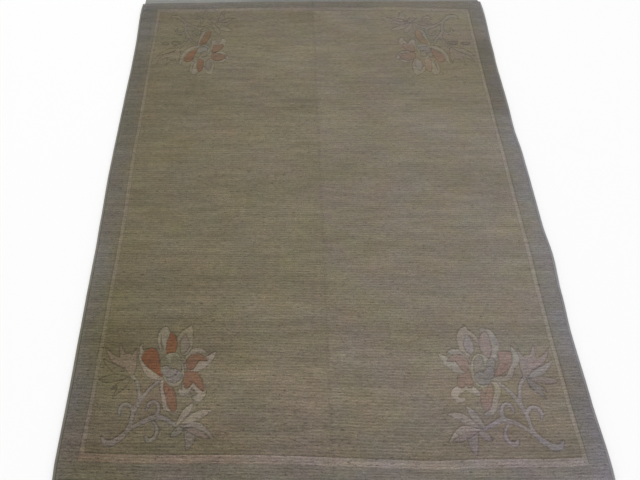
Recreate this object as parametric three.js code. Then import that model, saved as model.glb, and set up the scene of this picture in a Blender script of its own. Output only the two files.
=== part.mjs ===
// Tibetan rug: a one-piece hand-knotted wool rug that lies flat, with carved guard lines,
// a flat-woven strip at each end and an overcast side cord along each long edge.
// Units are millimetres. X runs across the width, Y along the length and Z up. The origin is
// on the underside, at the middle of the rug. The end at -Y is the near end.

import * as THREE from 'three';

// Driving dimensions
const PILE_HALF_WIDTH = 604;       // knotted pile, from the centre line to a long edge
const PILE_HALF_LENGTH = 918;      // knotted pile, from the middle to an end
const HALF_LENGTH = 938;           // with the flat-woven strip past the pile at each end
const PILE_HEIGHT = 12;            // underside to the top of the pile
const GROUND_HEIGHT = 3;           // warp and weft alone, as in the end strips
const EDGE_HEIGHT = 8.5;           // pile at its very edge, where it leans outward
const SIDE_LEAN = 10;              // width over which the pile leans at a long edge
const END_LEAN = 7;                // and at an end
const END_STEP = 0.6;              // run of the steep step from the pile down to an end strip
const CORNER_DRAW = 2;             // how far the long edges draw in at the last of the pile

// The guard stripe: a narrow framing band between the field and the outer border
const GUARD_LEFT_INNER = 543.5;    // field's edge, from the centre line
const GUARD_RIGHT_INNER = 548;     // the border is a little narrower on this side
const GUARD_SIDE_WIDTH = 11;
const GUARD_END_INNER = 849;       // field's edge, from the middle of the length
const GUARD_END_OUTER = 870;
const GROOVE_HALF = 2.2;           // half the width of a carved groove at the top of the pile
const GROOVE_DEPTH = 3.5;

// Soft unevenness of the pile, and the shallow line where the two halves of the width meet
const JOIN_OFFSET = 6;             // the join lies a little to the right of the centre line
const JOIN_HALF = 9;
const JOIN_DEPTH = 0.8;
const SWELL_HEIGHT = 0.7;
const SWELL_LENGTH_X = 430;
const SWELL_LENGTH_Y = 610;

// Overcast side cords
const CORD_WIDTH = 8;
const CORD_HEIGHT = 8;
const CORD_SIDES = 10;
const CORD_GAP = 0.3;              // clear space between a cord and the pile's edge

// How far each long edge stands out of straight, outward positive, along the length
const EDGE_WAVES = [
  { at: -938, left: -2, right: 2 },
  { at: -860, left: -2, right: 2 },
  { at: -700, left: -2.5, right: -2.5 },
  { at: -520, left: -1, right: -5 },
  { at: -400, left: 0, right: -1 },
  { at: -270, left: 0, right: 5 },
  { at: -160, left: 2, right: 0 },
  { at: 20, left: 5, right: 1 },
  { at: 120, left: 4.5, right: 1 },
  { at: 230, left: 3.5, right: -3.5 },
  { at: 360, left: 2.5, right: -1 },
  { at: 550, left: 0, right: -2 },
  { at: 640, left: 0, right: 0.5 },
  { at: 860, left: 5, right: 6 },
  { at: 938, left: 5, right: 6 },
];

// How far the woven rows lean along the length towards each end, positive away from the near
// end: on the guard stripe, and at the very end of the pile. The lean starts well away from
// the middle and dies out on the flat-woven strip.
const ROW_BOWS = [
  { at: -620, near: 0, nearEnd: 0, far: -10, farEnd: -12 },
  { at: -430, near: -4, nearEnd: 0, far: -6, farEnd: -9 },
  { at: -150, near: -2, nearEnd: 0, far: -3, farEnd: -3 },
  { at: 230, near: -10, nearEnd: 0, far: -3, farEnd: 0 },
  { at: 450, near: -3, nearEnd: 0, far: -4, farEnd: 1 },
  { at: 620, near: 4, nearEnd: 0, far: -7, farEnd: 1 },
];
const BOW_START = 200;             // no lean nearer than this to the middle of the length

const COLOURS = {
  pile: '#7a735f',
  cord: '#6d6d68',
};

// Lines along which the rug's surface is stated: steps across one half of the width and
// of the length. Each groove has a line at its bottom and one at each of its two lips.
function aroundGroove(centre) {
  return [centre - GROOVE_HALF, centre, centre + GROOVE_HALF];
}

function columnsBeside(guardInner) {
  return [
    110, 220, 330, 440, 510,
    ...aroundGroove(guardInner),
    ...aroundGroove(guardInner + GUARD_SIDE_WIDTH),
    580, 594, 601, PILE_HALF_WIDTH,
  ];
}

const HALF_ROWS = [
  80, 160, 240, 320, 400, 480, 560, 640, 720, 790,
  ...aroundGroove(GUARD_END_INNER),
  ...aroundGroove(GUARD_END_OUTER),
  894, 911, 916, PILE_HALF_LENGTH, PILE_HALF_LENGTH + END_STEP, HALF_LENGTH,
];

function bothSides(negativeHalf, middle, positiveHalf) {
  const negative = negativeHalf.map((place) => -place).reverse();
  return [...negative, ...middle, ...positiveHalf];
}

const COLUMNS = bothSides(
  columnsBeside(GUARD_LEFT_INNER),
  [JOIN_OFFSET - JOIN_HALF, JOIN_OFFSET, JOIN_OFFSET + JOIN_HALF],
  columnsBeside(GUARD_RIGHT_INNER),
);
const ROWS = bothSides(HALF_ROWS, [0], HALF_ROWS);
const CORD_ROWS = ROWS.filter((row) => Math.abs(row) <= PILE_HALF_LENGTH);

// A smooth run between the rows of a table, for one of its columns
function between(table, place, column) {
  const next = Math.max(1, table.findIndex((row) => row.at >= place));
  const low = table[next - 1];
  const high = table[next];
  const along = THREE.MathUtils.smoothstep(place, low.at, high.at);
  return THREE.MathUtils.lerp(low[column], high[column], along);
}

// Where a place in the straight plan lies on the real rug, across the width
function wavedAcross(x, y) {
  const side = x < 0 ? 'left' : 'right';
  const share = Math.abs(x) / PILE_HALF_WIDTH;
  const draw = CORNER_DRAW * THREE.MathUtils.smoothstep(Math.abs(y), GUARD_END_OUTER, PILE_HALF_LENGTH);
  return x + Math.sign(x) * share * (between(EDGE_WAVES, y, side) - share * draw);
}

// And where it lies along the length
function bowedAlong(x, y) {
  const { lerp, smoothstep } = THREE.MathUtils;
  const end = y < 0 ? 'near' : 'far';
  const rise = smoothstep(Math.abs(y), BOW_START, GUARD_END_INNER);
  const toEnd = smoothstep(Math.abs(y), GUARD_END_OUTER, PILE_HALF_LENGTH);
  const fall = smoothstep(Math.abs(y), PILE_HALF_LENGTH + END_STEP, HALF_LENGTH);
  const lean = lerp(between(ROW_BOWS, x, end), between(ROW_BOWS, x, `${end}End`), toEnd);
  return y + lean * rise * (1 - fall);
}

// How far below the pile's top a carved line with straight flanks is cut
function carved(distance, half, depth) {
  return depth * Math.max(0, 1 - Math.abs(distance) / half);
}

// Signed distance from a rectangle about the origin, measured square to its nearest side
function fromRectangle(x, y, halfX, halfY) {
  return Math.max(Math.abs(x) - halfX, Math.abs(y) - halfY);
}

// The pile leans over at its edges: full height inside, lower on the last few millimetres
function edgeDrop(x, y) {
  const sideInset = PILE_HALF_WIDTH - Math.abs(x);
  const endInset = PILE_HALF_LENGTH - Math.abs(y);
  const sideDrop = Math.max(0, 1 - sideInset / SIDE_LEAN) ** 2;
  const endDrop = Math.max(0, 1 - endInset / END_LEAN) ** 2;
  return (PILE_HEIGHT - EDGE_HEIGHT) * Math.max(sideDrop, endDrop);
}

function topHeight(x, y) {
  if (Math.abs(y) > PILE_HALF_LENGTH) {
    return GROUND_HEIGHT;
  }
  const swellAcross = Math.sin(x / SWELL_LENGTH_X * Math.PI);
  const swellAlong = Math.cos(y / SWELL_LENGTH_Y * Math.PI);
  const guardInner = x < 0 ? GUARD_LEFT_INNER : GUARD_RIGHT_INNER;
  const innerLine = fromRectangle(x, y, guardInner, GUARD_END_INNER);
  const outerLine = fromRectangle(x, y, guardInner + GUARD_SIDE_WIDTH, GUARD_END_OUTER);
  const cuts = [
    carved(innerLine, GROOVE_HALF, GROOVE_DEPTH),
    carved(outerLine, GROOVE_HALF, GROOVE_DEPTH),
    carved(x - JOIN_OFFSET, JOIN_HALF, JOIN_DEPTH),
    edgeDrop(x, y),
  ];
  return PILE_HEIGHT + SWELL_HEIGHT * swellAcross * swellAlong - Math.max(...cuts);
}

// The knotted cloth: a box whose segments are moved to the stated rows and columns, then
// waved at its edges and given its top surface. The underside stays flat.
function knottedRug() {
  const columnSteps = COLUMNS.length - 1;
  const rowSteps = ROWS.length - 1;
  const geometry = new THREE.BoxGeometry(1, 1, 1, columnSteps, rowSteps, 1);
  const position = geometry.getAttribute('position');
  for (let i = 0; i < position.count; i += 1) {
    const x = COLUMNS[Math.round((position.getX(i) + 0.5) * columnSteps)];
    const y = ROWS[Math.round((position.getY(i) + 0.5) * rowSteps)];
    const z = position.getZ(i) > 0 ? topHeight(x, y) : 0;
    position.setXYZ(i, wavedAcross(x, y), bowedAlong(x, y), z);
  }
  geometry.computeVertexNormals();
  const material = new THREE.MeshStandardMaterial({ color: COLOURS.pile, roughness: 0.95, metalness: 0 });
  const mesh = new THREE.Mesh(geometry, material);
  mesh.name = 'knotted_rug';
  return mesh;
}

// A round section with one flat side down on the floor
function cordSection() {
  const section = new THREE.Shape();
  for (let i = 0; i < CORD_SIDES; i += 1) {
    const turn = (i + 0.5) / CORD_SIDES * 2 * Math.PI - Math.PI / 2;
    const across = CORD_WIDTH / 2 * Math.cos(turn);
    const up = Math.max(0, CORD_HEIGHT / 2 * (1 + Math.sin(turn) / Math.cos(Math.PI / CORD_SIDES)));
    if (i === 0) {
      section.moveTo(across, up);
    } else {
      section.lineTo(across, up);
    }
  }
  section.closePath();
  return section;
}

// One overcast cord: yarn wound over the edge warps, as long as the pile. It is an extrusion
// with a ring at each of the pile's own rows, moved out to the waved edge of the pile.
function sideCord(side) {
  const sign = side === 'left' ? -1 : 1;
  const steps = CORD_ROWS.length - 1;
  const geometry = new THREE.ExtrudeGeometry(cordSection(), { depth: 1, steps, bevelEnabled: false });
  const position = geometry.getAttribute('position');
  for (let i = 0; i < position.count; i += 1) {
    const row = CORD_ROWS[Math.round(position.getZ(i) * steps)];
    const edge = Math.abs(wavedAcross(sign * PILE_HALF_WIDTH, row));
    const along = bowedAlong(sign * PILE_HALF_WIDTH, row);
    const outward = edge + CORD_GAP + CORD_WIDTH / 2 + position.getX(i);
    position.setXYZ(i, sign * outward, along, position.getY(i));
  }
  if (sign > 0) {
    turnFacesOver(geometry);
  }
  geometry.computeVertexNormals();
  const material = new THREE.MeshStandardMaterial({ color: COLOURS.cord, roughness: 0.9, metalness: 0 });
  const mesh = new THREE.Mesh(geometry, material);
  mesh.name = `side_cord_${side}`;
  return mesh;
}

// Swapping Y and Z mirrors a shape, and its faces point out again once each triangle is
// reversed. The left cord is mirrored a second time, across the rug, so it needs no reversal.
function turnFacesOver(geometry) {
  const position = geometry.getAttribute('position');
  for (let i = 0; i < position.count; i += 3) {
    const first = new THREE.Vector3().fromBufferAttribute(position, i);
    const second = new THREE.Vector3().fromBufferAttribute(position, i + 1);
    position.setXYZ(i, second.x, second.y, second.z);
    position.setXYZ(i + 1, first.x, first.y, first.z);
  }
}

const rug = new THREE.Group();
rug.add(knottedRug());
for (const side of ['left', 'right']) {
  rug.add(sideCord(side));
}

export default rug;
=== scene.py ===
# %% [markdown]
# # A Tibetan rug
# A hand-knotted wool rug lying flat on a floor: a plain field with a carved lotus spray in each
# corner, a narrow guard stripe, an outer border, a cord overcast with yarn along each long edge
# and a short flat-woven strip at each end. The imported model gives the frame: its solids hold
# the size, and the pieces made here give each of them its pile, its carving and its yarn.

# %% Load the frame
import math

import bmesh
import bpy
import numpy as np
from mathutils import Matrix, Vector


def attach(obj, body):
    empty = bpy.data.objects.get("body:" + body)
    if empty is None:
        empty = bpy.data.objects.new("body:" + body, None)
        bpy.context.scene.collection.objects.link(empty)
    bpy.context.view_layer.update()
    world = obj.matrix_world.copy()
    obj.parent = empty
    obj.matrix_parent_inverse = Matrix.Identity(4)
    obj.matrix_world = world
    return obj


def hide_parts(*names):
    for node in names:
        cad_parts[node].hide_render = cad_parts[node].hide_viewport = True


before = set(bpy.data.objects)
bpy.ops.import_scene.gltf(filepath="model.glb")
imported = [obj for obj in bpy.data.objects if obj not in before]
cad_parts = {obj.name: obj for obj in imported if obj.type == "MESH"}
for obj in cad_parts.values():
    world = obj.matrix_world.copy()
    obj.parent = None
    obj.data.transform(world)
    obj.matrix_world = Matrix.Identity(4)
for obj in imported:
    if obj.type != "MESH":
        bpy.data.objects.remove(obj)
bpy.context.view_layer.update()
print("nodes:", sorted(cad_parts))

# %% [markdown]
# ## Camera
# Someone stands past the near end and looks down at the rug. The camera is held at eye height,
# almost over the long centre line, and tilted down by about fifty degrees. Its lens is a
# little longer than normal, and a small sideways shift frames the rug a little to the right
# of where the lens points. Turning a matrix about Z, then X, then Z again gives the heading,
# the tilt and the slight roll of a hand-held camera.

# %% Place the camera
CAMERA_PLACE = (-0.122, -1.617, 1.654)
CAMERA_HEADING = math.radians(1.935)     # to the left
CAMERA_TILT = math.radians(49.76)        # below the horizon
CAMERA_ROLL = math.radians(-1.173)
CAMERA_LENS = 44.5                       # in millimetres, with a sensor 36 wide
CAMERA_SENSOR = 36.0
CAMERA_SHIFT = 0.0953                    # in widths of the view

camera = bpy.data.objects.new("camera", bpy.data.cameras.new("camera"))
camera.data.lens = CAMERA_LENS
camera.data.sensor_width = CAMERA_SENSOR
camera.data.shift_x = CAMERA_SHIFT
camera.matrix_world = (
    Matrix.Translation(CAMERA_PLACE)
    @ Matrix.Rotation(CAMERA_HEADING, 4, "Z")
    @ Matrix.Rotation(math.pi / 2 - CAMERA_TILT, 4, "X")
    @ Matrix.Rotation(CAMERA_ROLL, 4, "Z")
)
bpy.context.scene.collection.objects.link(camera)
bpy.context.scene.camera = camera
print("camera height", round(camera.location.z, 3), "m, lens", camera.data.lens, "mm")

# %% [markdown]
# ## Floor and light
# Cut wool is matt and its relief is only a few millimetres, so the light is nearly even: a
# white sky gives most of it, and one soft sun from beyond the far end draws a faint shade into
# every row of knots and every carved line. A sun lights both ends alike. The plain view
# transform keeps the dyes as they are mixed.

# %% Floor, sky and soft light
FLOOR_SIZE = 14.0
FLOOR_FINISH = {"Base Color": (0.95, 0.95, 0.95, 1), "Roughness": 0.8}
SKY = {"Color": (1.0, 1.0, 1.0, 1), "Strength": 0.64}
SUN_FROM = (-1.0, 5.0, 4.6)
SUN_SOFTNESS = math.radians(30)
SUN_STRENGTH = 1.8


def link(thing):
    """Puts a new object in the scene and hands it back."""
    bpy.context.scene.collection.objects.link(thing)
    return thing


def set_sockets(shader, values):
    """Sets a shader's own sockets."""
    for name, value in values.items():
        shader.inputs[name].default_value = value


floor_bm = bmesh.new()
bmesh.ops.create_grid(floor_bm, x_segments=1, y_segments=1, size=FLOOR_SIZE / 2)
floor_mesh = bpy.data.meshes.new("floor")
floor_bm.to_mesh(floor_mesh)
floor_bm.free()
floor = link(bpy.data.objects.new("floor", floor_mesh))
floor_paint = bpy.data.materials.new("pale_floor")
floor_paint.use_nodes = True
set_sockets(floor_paint.node_tree.nodes["Principled BSDF"], FLOOR_FINISH)
floor_mesh.materials.append(floor_paint)

world = bpy.data.worlds.new("studio")
world.use_nodes = True
set_sockets(world.node_tree.nodes["Background"], SKY)
bpy.context.scene.world = world
bpy.context.scene.view_settings.view_transform = "Standard"

sun = link(bpy.data.objects.new("soft_sun", bpy.data.lights.new("soft_sun", "SUN")))
sun.data.energy = SUN_STRENGTH
sun.data.angle = SUN_SOFTNESS
sun.location = SUN_FROM
sun.rotation_euler = (-Vector(SUN_FROM)).to_track_quat("-Z", "Y").to_euler()
print("sky", SKY["Strength"], "and sun", sun.data.energy)

# %% [markdown]
# ## The rug's sizes
# These are the driving sizes of the solids in the frame, in metres. The pile's plan is drawn
# straight first: x across and y along, as on a weaver's chart. The real rug came off a hand
# loom, so its edges and its stripe wave and its rows lean by a few millimetres, and two short
# tables say by how much.

# %% Sizes and the two tables
MM = 0.001
PILE_HALF_WIDTH = 604 * MM
PILE_HALF_LENGTH = 918 * MM
HALF_LENGTH = 938 * MM           # with the flat-woven end strips
PILE_HEIGHT = 12 * MM
GROUND_HEIGHT = 3 * MM
EDGE_HEIGHT = 8.5 * MM           # of the pile at its rounded edges
SIDE_LEAN = 10 * MM              # width of the rounding at the sides, and at the ends
END_LEAN = 7 * MM
CORNER_DRAW = 2 * MM             # how far the pile's last rows draw in
GUARD_LEFT_INNER = 543.5 * MM    # the stripe's inner line, left and right of the middle
GUARD_RIGHT_INNER = 548 * MM
GUARD_SIDE_WIDTH = 11 * MM
GUARD_MIDDLE = 551 * MM
GUARD_END_INNER = 849 * MM
GUARD_END_OUTER = 870 * MM
GROOVE_DEPTH = 1.3 * MM
JOIN_OFFSET = 6 * MM             # the two halves of the width meet this far right of the middle
JOIN_HALF = 9 * MM
JOIN_DEPTH = 0.8 * MM
SWELL_HEIGHT = 0.7 * MM
SWELL_LENGTH_X = 430 * MM
SWELL_LENGTH_Y = 610 * MM
BOW_START = 200 * MM             # the rows are straight up to here, along from the middle
CALM_START = PILE_HALF_LENGTH * 7 / 8
ROW_WANDER = 1.1 * MM            # how far a row strays from its course here and there


def table(columns, rows):
    """Numbers in rows, as one array for each named column."""
    return dict(zip(columns.split(), np.array(rows, dtype=float).T))


# Place along the length, then how far each long edge and each side of the stripe stand out of
# straight, in millimetres. Past its first and last row a table goes on with the same values.
EDGE_WAVES = table("at left left_stripe right_stripe right", [
    (-860, -2, 3.5, 4, 2),
    (-700, -2.5, 0, -1, -2.5),
    (-520, -1, -1, -3.5, -5),
    (-400, 0, -1.5, -4, -1),
    (-270, 0, -3, -2, 5),
    (-160, 2, -3.5, -2, 0),
    (20, 5, 0, -2.5, 1),
    (120, 4.5, 1, -1.5, 1),
    (230, 3.5, -0.5, -2.5, -3.5),
    (360, 2.5, 0, -2, -1),
    (550, 0, 0.5, -1, -2),
    (640, 0, -0.5, 0.5, 0.5),
    (860, 5, 0, 3, 6),
])

# Place across the width, then how far the rows lean along the length, in millimetres: on the
# near and the far side of the guard stripe, and at the far end of the pile. Its near end is
# straight.
ROW_BOWS = table("at near far far_end", [
    (-620, 1, -6, -12),
    (-430, -3.5, -3, -9),
    (-300, -3, -1, -6),
    (-150, -2, 5, -3),
    (230, -9.5, 5, 0),
    (330, -6, 5, 0),
    (450, -3, -2, 1),
    (620, 5, -7, 1),
])
print("pile", 2 * PILE_HALF_WIDTH, "by", 2 * PILE_HALF_LENGTH, "m,", PILE_HEIGHT, "m high")

# %% [markdown]
# ## From the straight chart to the real rug
# Two functions bend the chart: one moves a place across, the other along. They work on whole
# arrays of places, so a mesh with a hundred thousand vertices bends in one step, and every
# piece uses the same two, so neighbouring pieces meet without a gap. `soft_noise` gives the
# gentle unevenness of handwork: random values on a coarse lattice with smooth runs between.

# %% Bend the chart
LATTICE_WIDTH = 1.4      # the noise covers a little more than the rug
LATTICE_LENGTH = 2.1


def smooth(share):
    """Eases a share from 0 to 1."""
    share = np.clip(share, 0, 1)
    return share * share * (3 - 2 * share)


def ramp(place, start, end):
    """Rises smoothly from 0 at the start to 1 at the end."""
    return smooth((place - start) / (end - start))


def between(rows, place, column):
    """A smooth run between the rows of a table, for one of its columns."""
    at, value = rows["at"] * MM, rows[column]
    upper = np.clip(np.searchsorted(at, place), 1, len(at) - 1)
    share = ramp(place, at[upper - 1], at[upper])
    return value[upper - 1] + (value[upper] - value[upper - 1]) * share


def by_sign(sign, rows, place, low, high):
    """One column of a table where the sign is negative, and another where it isn't."""
    return np.where(sign < 0, between(rows, place, low), between(rows, place, high))


def soft_noise(x, y, across, along, seed):
    """Smooth bumps about `across` by `along` metres in size, from -1 to 1."""
    columns = int(LATTICE_WIDTH / across) + 4
    rows = int(LATTICE_LENGTH / along) + 4
    lattice = np.random.default_rng(seed).uniform(-1, 1, (rows, columns))
    u = np.clip(x / across + columns / 2, 0, columns - 1.001)
    v = np.clip(y / along + rows / 2, 0, rows - 1.001)
    column, row = u.astype(int), v.astype(int)
    su, sv = smooth(u - column), smooth(v - row)
    low = lattice[row, column] * (1 - su) + lattice[row, column + 1] * su
    high = lattice[row + 1, column] * (1 - su) + lattice[row + 1, column + 1] * su
    return low * (1 - sv) + high * sv


def waved_across(x, y):
    """Where a place on the chart lies across the real rug."""
    reach = np.abs(x)
    edge = by_sign(x, EDGE_WAVES, y, "left", "right")
    inside = by_sign(x, EDGE_WAVES, y, "left_stripe", "right_stripe")
    past_stripe = np.clip((reach - GUARD_MIDDLE) / (PILE_HALF_WIDTH - GUARD_MIDDLE), 0, 1)
    wave = inside * np.clip(reach / GUARD_MIDDLE, 0, 1) * (1 - past_stripe) + edge * past_stripe
    to_end = ramp(np.abs(y), GUARD_END_OUTER, PILE_HALF_LENGTH)
    return x + np.sign(x) * (wave * MM - CORNER_DRAW * to_end * (reach / PILE_HALF_WIDTH) ** 2)


def bowed_along(x, y):
    """Where a place on the chart lies along the real rug."""
    reach = np.abs(y)
    rise = ramp(reach, BOW_START, GUARD_END_INNER)
    to_end = ramp(reach, GUARD_END_OUTER, PILE_HALF_LENGTH)
    fall = ramp(reach, PILE_HALF_LENGTH, HALF_LENGTH)
    on_stripe = by_sign(y, ROW_BOWS, x, "near", "far")
    at_end = np.where(y < 0, 0, between(ROW_BOWS, x, "far_end"))
    lean = (on_stripe * (1 - to_end) + at_end * to_end) * MM * rise * (1 - fall)
    calm_end = 1 - ramp(reach, CALM_START, PILE_HALF_LENGTH)
    return y + lean + ROW_WANDER * soft_noise(x, y, 0.11, 0.05, seed=3) * calm_end


pile_corner = waved_across(np.array([-PILE_HALF_WIDTH]), np.array([-PILE_HALF_LENGTH]))
print("near left corner of the pile lies", round(float(pile_corner[0]), 4), "m from the middle")

# %% [markdown]
# ## The height of the pile
# Knots are tied in rows, and each pair of rows is beaten down together, so the cut pile stands
# in soft ridges eight millimetres apart that run across the width. The shears leave low swells,
# the rug was woven as two halves whose meeting shows as a shallow valley, and the pile leans
# outward at its edges. Where two colours meet, the pile is carved: its edges are rounded down
# into a narrow groove, shallower on the stripe's short sides. One function adds all of this up
# for any place on the chart.

# %% Height of the pile
ROW_PITCH = 8 * MM
ROW_DEPTH = 0.75 * MM
ROW_STRENGTH = 0.72      # of the ridges, and how much it changes from place to place
ROW_CHANGE = 0.42
GROOVE_REACH = 3.0 * MM
END_GROOVE_DEPTH = 0.6 * MM
MOTIF_DEPTH = 1.6 * MM
UNEVEN = 0.22 * MM


def rounded(distance, reach, depth):
    """Depth below the top at a distance from the bottom of a groove with rounded lips."""
    return depth * np.clip(1 - np.abs(distance) / reach, 0, 1) ** 2


def guard_distances(x, y):
    """Signed distances from the guard stripe's inner and outer lines."""
    inner = np.where(x < 0, GUARD_LEFT_INNER, GUARD_RIGHT_INNER)
    from_inner = np.maximum(np.abs(x) - inner, np.abs(y) - GUARD_END_INNER)
    from_outer = np.maximum(np.abs(x) - inner - GUARD_SIDE_WIDTH, np.abs(y) - GUARD_END_OUTER)
    return from_inner, from_outer


def pile_top(x, y):
    """Height of the cut pile above the floor, carved lines of the stripe included."""
    swell = SWELL_HEIGHT * np.sin(x / SWELL_LENGTH_X * np.pi) * np.cos(y / SWELL_LENGTH_Y * np.pi)
    strength = ROW_STRENGTH + ROW_CHANGE * soft_noise(x, y, 0.07, 0.024, seed=11)
    ridge = 0.5 + 0.5 * np.cos(2 * np.pi * y / ROW_PITCH)
    uneven = UNEVEN * soft_noise(x, y, 0.13, 0.017, seed=12)
    join = JOIN_DEPTH * np.clip(1 - np.abs(x - JOIN_OFFSET) / JOIN_HALF, 0, 1)
    side = rounded(PILE_HALF_WIDTH - np.abs(x), SIDE_LEAN, PILE_HEIGHT - EDGE_HEIGHT)
    end = rounded(PILE_HALF_LENGTH - np.abs(y), END_LEAN, PILE_HEIGHT - EDGE_HEIGHT)
    short_side = ramp(np.abs(y), GUARD_END_INNER - 15 * MM, GUARD_END_INNER - 5 * MM)
    deep = GROOVE_DEPTH * (1 - short_side) + END_GROOVE_DEPTH * short_side
    from_inner, from_outer = guard_distances(x, y)
    line = rounded(np.minimum(np.abs(from_inner), np.abs(from_outer)), GROOVE_REACH, deep)
    cut = np.maximum(np.maximum(line, join), np.maximum(side, end))
    return PILE_HEIGHT + swell + uneven - ROW_DEPTH * ridge * strength - cut


middle = pile_top(np.zeros(3), np.array([0, ROW_PITCH / 4, ROW_PITCH / 2]))
print("a valley, a flank and a ridge near the middle:", np.round(middle * 1000, 2), "mm")

# %% [markdown]
# ## The dyed yarns
# Vegetable-dyed wool in a quiet range. The colours are written as they would be read off a
# shade card, from 0 to 255, and turned into the linear values that a renderer wants.


# %% Shade card
def shade(red, green, blue):
    """A shade card colour as linear light."""
    display = np.array([red, green, blue]) / 255
    return np.where(display <= 0.04045, display / 12.92, ((display + 0.055) / 1.055) ** 2.4)


YARN = {
    "olive": shade(119, 110, 91),          # the field
    "grey_brown": shade(112, 106, 97),     # the border
    "pale_rose": shade(136, 126, 112),
    "grey_lilac": shade(130, 123, 114),
    "moss": shade(119, 113, 101),
    "ash": shade(124, 116, 107),
    "mauve": shade(125, 113, 103),
    "cream": shade(141, 131, 117),
    "worn_cream": shade(134, 126, 111),
    "buff": shade(136, 126, 110),
    "sand": shade(134, 119, 106),
    "terracotta": shade(124, 83, 58),
    "dusty_terracotta": shade(121, 93, 73),
    "pale_terracotta": shade(127, 109, 96),
    "faded_rose": shade(136, 123, 109),
    "pale_lilac": shade(134, 127, 117),
    "sage": shade(135, 128, 110),
    "slate": shade(122, 116, 109),
    "umber": shade(94, 86, 76),
    "grey_weft": shade(140, 140, 136),
    "grey_cord": shade(136, 133, 127),
}
print(len(YARN), "yarns")

# %% [markdown]
# ## The wool's finish
# Cut wool has no gloss. What the eye reads is the colour: dye lots that differ from band to
# band, short streaks along the rows, heathered knots, single tufts and a few dark partings
# between them, whose darkness is painted shade for the gaps in the pile. Each vertex carries its
# yarn's dye and its place on the straight chart, so the pattern follows the bent rows. The nodes
# multiply the dye by a soft noise for each of these and paint shade into the valleys between the
# rows, with a faint painted highlight on the crests. All of this is weaker on the right side and
# stronger at the near end. Last, painted shade darkens the carved grooves. A bump of knots and
# hair breaks up the surface, and a little sheen stands for the fibre ends.

# %% Node helpers
NOISE_LOW = 0.3          # Blender's noise seldom leaves this range
NOISE_HIGH = 0.7


def node(tree, kind, feeds=None, **settings):
    """Adds a node. `feeds` maps an input's name or number to a value or to another node's output."""
    made = tree.nodes.new(kind)
    for name, value in settings.items():
        setattr(made, name, value)
    for name, value in (feeds or {}).items():
        if isinstance(value, bpy.types.NodeSocket):
            tree.links.new(value, made.inputs[name])
        else:
            made.inputs[name].default_value = value
    return made


def stored(tree, name, output):
    """What each vertex keeps under a name."""
    return node(tree, "ShaderNodeAttribute", attribute_name=name).outputs[output]


def math_node(tree, operation, first, second=0.0):
    """The result of a sum on two numbers."""
    return node(tree, "ShaderNodeMath", {0: first, 1: second}, operation=operation).outputs[0]


def product(tree, first, *others):
    """The product of several numbers."""
    for other in others:
        first = math_node(tree, "MULTIPLY", first, other)
    return first


def ranged(tree, value, low, high, to_low, to_high):
    """A number moved from one range to another, and held inside it."""
    feeds = {"Value": value, "From Min": low, "From Max": high, "To Min": to_low, "To Max": to_high}
    return node(tree, "ShaderNodeMapRange", feeds, clamp=True).outputs["Result"]


def spread(tree, noise, to_low, to_high):
    """A noise as a factor between two values."""
    return ranged(tree, noise, NOISE_LOW, NOISE_HIGH, to_low, to_high)


def stretched_noise(tree, place, per_metre, detail=2.0, roughness=0.5):
    """Noise with its own number of bumps a metre across and along the rug."""
    mapping = node(tree, "ShaderNodeMapping", {"Vector": place, "Scale": per_metre})
    feeds = {"Vector": mapping.outputs[0], "Scale": 1.0, "Detail": detail, "Roughness": roughness}
    return node(tree, "ShaderNodeTexNoise", feeds).outputs["Fac"]


def ripple(tree, operation, place, pitch):
    """A sine or cosine that comes round once in each pitch."""
    return math_node(tree, operation, math_node(tree, "MULTIPLY", place, 2 * math.pi / pitch))


def lit_by(tree, dye, value):
    """A dye made lighter or darker by a number."""
    return node(tree, "ShaderNodeVectorMath", {0: dye, "Scale": value}, operation="SCALE").outputs[0]


def fresh_material(name, roughness, sheen):
    """A material with only its shader in it, and the shader."""
    material = bpy.data.materials.new(name)
    material.use_nodes = True
    shader = material.node_tree.nodes["Principled BSDF"]
    matt = {"Sheen Roughness": 0.55, "Specular IOR Level": 0.18}
    set_sockets(shader, {"Roughness": roughness, "Sheen Weight": sheen, **matt})
    return material, shader


def cover(tree, shader, colour, relief, depth, strength):
    """Gives the shader its colour and a bump from a relief of the given depth."""
    tree.links.new(colour, shader.inputs["Base Color"])
    bump = node(tree, "ShaderNodeBump", {"Height": relief, "Distance": depth, "Strength": strength})
    tree.links.new(bump.outputs[0], shader.inputs["Normal"])


print("helpers ready")


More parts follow.
